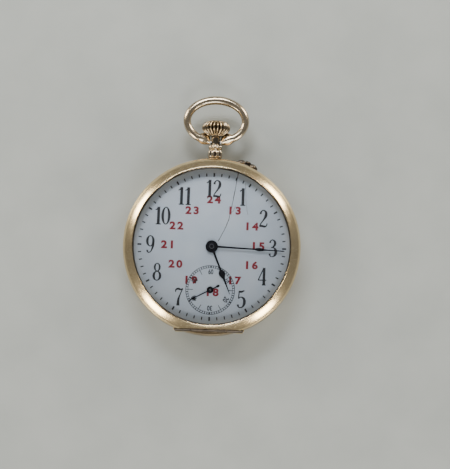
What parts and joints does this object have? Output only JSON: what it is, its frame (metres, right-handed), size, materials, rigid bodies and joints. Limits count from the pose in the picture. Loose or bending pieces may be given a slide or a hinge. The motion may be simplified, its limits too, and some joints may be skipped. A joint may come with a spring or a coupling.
{
  "type": "open face pocket watch",
  "caption": "Open face pocket watch with crown and oval bow, hinged bezel and back, seconds subdial and a complete geared movement.",
  "frame": {"origin": "middle of the flat the back rests on, on the axis of the hands", "axes": "+Z out of the dial, +Y towards 12 o'clock, the crown and the bow, +X towards 3 o'clock"},
  "size_m": [0.0486, 0.0662, 0.0124],
  "materials": {
    "case_gold": "polished yellow gold shell, softly worn",
    "worn_gold": "darkened gold with grime in the grooves",
    "crystal_glass": "clear domed glass",
    "dial_enamel": "white vitreous enamel",
    "hand_steel": "blue-black steel",
    "gilt_plate": "frosted gilt",
    "wheel_brass": "polished brass",
    "polished_steel": "polished steel",
    "blued_steel": "heat-blued steel"
  },
  "bodies": {
    "case": {"mid_case": "case_gold", "pendant": "case_gold", "bow_screw_left": "polished_steel", "bow_screw_right": "polished_steel", "bezel_hinge_pin": "worn_gold", "back_hinge_pin": "worn_gold", "pusher_guard": "worn_gold", "main_plate": "gilt_plate", "dial": "dial_enamel", "barrel_bridge": "gilt_plate", "train_bridge": "gilt_plate", "balance_cock": "gilt_plate", "pallet_bridge": "gilt_plate", "barrel_bridge_screw_1": "blued_steel", "barrel_bridge_screw_2": "blued_steel", "train_bridge_screw_1": "blued_steel", "train_bridge_screw_2": "blued_steel", "balance_cock_screw": "blued_steel", "case_screw_1": "polished_steel", "case_screw_2": "polished_steel", "crown_wheel_core": "blued_steel", "click_spring": "blued_steel"},
    "bezel": {"bezel": "case_gold", "crystal": "crystal_glass"},
    "back_cover": {"back_cover": "case_gold"},
    "dust_cover": {"dust_cover": "case_gold"},
    "bow": {"bow": "case_gold"},
    "crown": {"crown": "worn_gold", "winding_stem": "polished_steel", "winding_pinion": "polished_steel"},
    "clutch": {"clutch_wheel": "polished_steel"},
    "pusher": {"setting_pusher": "polished_steel"},
    "setting_lever": {"setting_lever": "polished_steel"},
    "crown_wheel": {"crown_wheel": "polished_steel"},
    "ratchet": {"ratchet_wheel": "polished_steel", "barrel_arbor": "polished_steel", "ratchet_screw": "blued_steel"},
    "click": {"click": "polished_steel"},
    "barrel": {"barrel": "wheel_brass", "barrel_cover": "wheel_brass", "mainspring": "blued_steel"},
    "centre_wheel": {"centre_wheel": "wheel_brass", "cannon_pinion": "polished_steel", "minute_hand": "hand_steel"},
    "hour_wheel": {"hour_wheel": "wheel_brass", "hour_hand": "hand_steel"},
    "minute_wheel": {"minute_wheel": "wheel_brass"},
    "setting_wheel": {"setting_wheel": "polished_steel"},
    "third_wheel": {"third_wheel": "wheel_brass"},
    "fourth_wheel": {"fourth_wheel": "wheel_brass", "seconds_hand": "hand_steel"},
    "escape_wheel": {"escape_wheel": "polished_steel"},
    "pallet_fork": {"pallet_fork": "polished_steel"},
    "balance": {"balance_wheel": "wheel_brass", "balance_staff": "polished_steel", "impulse_roller": "polished_steel", "hairspring": "blued_steel"},
    "regulator": {"regulator": "polished_steel"}
  },
  "joints": [
    {"name": "bezel_open", "type": "hinge", "parent": "case", "child": "bezel", "pos_m": [0, -0.0226, 0.0086], "axis": [1, 0, 0], "range_deg": [0, 92]},
    {"name": "back_open", "type": "hinge", "parent": "case", "child": "back_cover", "pos_m": [0, -0.0226, 0.00303], "axis": [-1, 0, 0], "range_deg": [0, 100]},
    {"name": "dust_cover_open", "type": "hinge", "parent": "case", "child": "dust_cover", "pos_m": [0, -0.0226, 0.00303], "axis": [-1, 0, 0], "range_deg": [0, 60]},
    {"name": "bow_swing", "type": "hinge", "parent": "case", "child": "bow", "pos_m": [0, 0.0292, 0.0057], "axis": [1, 0, 0], "range_deg": [-125, 125]},
    {"name": "crown_turn", "type": "hinge", "parent": "case", "child": "crown", "pos_m": [0, 0.031, 0.0057], "axis": [0, 1, 0], "continuous": true},
    {"name": "clutch_slide", "type": "slide", "parent": "crown", "child": "clutch", "axis": [0, -1, 0], "range_m": [0, 0.0013]},
    {"name": "set_pin_press", "type": "slide", "parent": "case", "child": "pusher", "axis": [-0.3632, -0.9317, 0], "range_m": [0, 0.0006], "stiffness_N_per_m": 500},
    {"name": "setting_lever_swing", "type": "hinge", "parent": "case", "child": "setting_lever", "pos_m": [0.0109, 0.01618, 0.0057], "axis": [0, 0, 1], "range_deg": [0, 7.8]},
    {"name": "crown_wheel_turn", "type": "hinge", "parent": "case", "child": "crown_wheel", "pos_m": [0, 0.01506, 0.003], "axis": [0, 0, 1], "continuous": true},
    {"name": "ratchet_turn", "type": "hinge", "parent": "case", "child": "ratchet", "pos_m": [0.00618, 0.00687, 0.003], "axis": [0, 0, 1], "continuous": true},
    {"name": "click_lift", "type": "hinge", "parent": "case", "child": "click", "pos_m": [0.0141, 0.00547, 0.003], "axis": [0, 0, 1], "range_deg": [0, 9], "stiffness_Nm_per_rad": 0.0005},
    {"name": "minute_hand_turn", "type": "hinge", "parent": "case", "child": "centre_wheel", "pos_m": [0, 0, 0.009], "axis": [0, 0, -1], "continuous": true},
    {"name": "hour_hand_turn", "type": "hinge", "parent": "case", "child": "hour_wheel", "pos_m": [0, 0, 0.009], "axis": [0, 0, -1], "continuous": true},
    {"name": "minute_wheel_turn", "type": "hinge", "parent": "case", "child": "minute_wheel", "pos_m": [0, 0.0034, 0.0074], "axis": [0, 0, -1], "continuous": true},
    {"name": "setting_wheel_turn", "type": "hinge", "parent": "case", "child": "setting_wheel", "pos_m": [0, 0.00978, 0.0073], "axis": [0, 0, -1], "continuous": true},
    {"name": "barrel_turn", "type": "hinge", "parent": "case", "child": "barrel", "pos_m": [0.00618, 0.00687, 0.005], "axis": [0, 0, -1], "continuous": true},
    {"name": "third_wheel_turn", "type": "hinge", "parent": "case", "child": "third_wheel", "pos_m": [0.00289, -0.0066, 0.0045], "axis": [0, 0, -1], "continuous": true},
    {"name": "seconds_hand_turn", "type": "hinge", "parent": "case", "child": "fourth_wheel", "pos_m": [0, -0.0118, 0.0055], "axis": [0, 0, -1], "continuous": true},
    {"name": "escape_wheel_turn", "type": "hinge", "parent": "case", "child": "escape_wheel", "pos_m": [-0.00479, -0.00957, 0.005], "axis": [0, 0, -1], "continuous": true},
    {"name": "pallet_fork_swing", "type": "hinge", "parent": "case", "child": "pallet_fork", "pos_m": [-0.00788, -0.00659, 0.005], "axis": [0, 0, -1], "range_deg": [-5, 5]},
    {"name": "balance_swing", "type": "hinge", "parent": "case", "child": "balance", "pos_m": [-0.0113, -0.0033, 0.0038], "axis": [0, 0, -1], "range_deg": [-220, 220], "stiffness_Nm_per_rad": 0.0000029, "deforming": ["hairspring"]},
    {"name": "regulator_turn", "type": "hinge", "parent": "case", "child": "regulator", "pos_m": [-0.0113, -0.0033, 0.0023], "axis": [0, 0, -1], "range_deg": [-20, 20]}
  ],
  "couplings": [
    {"joint": "dust_cover_open", "follows": "back_open", "ratio": 0.6},
    {"joint": "setting_lever_swing", "follows": "set_pin_press", "rad_per_m": 222.9},
    {"joint": "clutch_slide", "follows": "set_pin_press", "ratio": 2.15},
    {"joint": "crown_wheel_turn", "follows": "crown_turn", "ratio": 0.4},
    {"joint": "ratchet_turn", "follows": "crown_turn", "ratio": -0.28},
    {"joint": "hour_hand_turn", "follows": "minute_hand_turn", "ratio": 0.083333},
    {"joint": "minute_wheel_turn", "follows": "minute_hand_turn", "ratio": -0.33333},
    {"joint": "setting_wheel_turn", "follows": "minute_hand_turn", "ratio": 0.22222},
    {"joint": "barrel_turn", "follows": "minute_hand_turn", "ratio": -0.16667},
    {"joint": "third_wheel_turn", "follows": "minute_hand_turn", "ratio": -8},
    {"joint": "seconds_hand_turn", "follows": "minute_hand_turn", "ratio": 60},
    {"joint": "escape_wheel_turn", "follows": "minute_hand_turn", "ratio": -600}
  ]
}
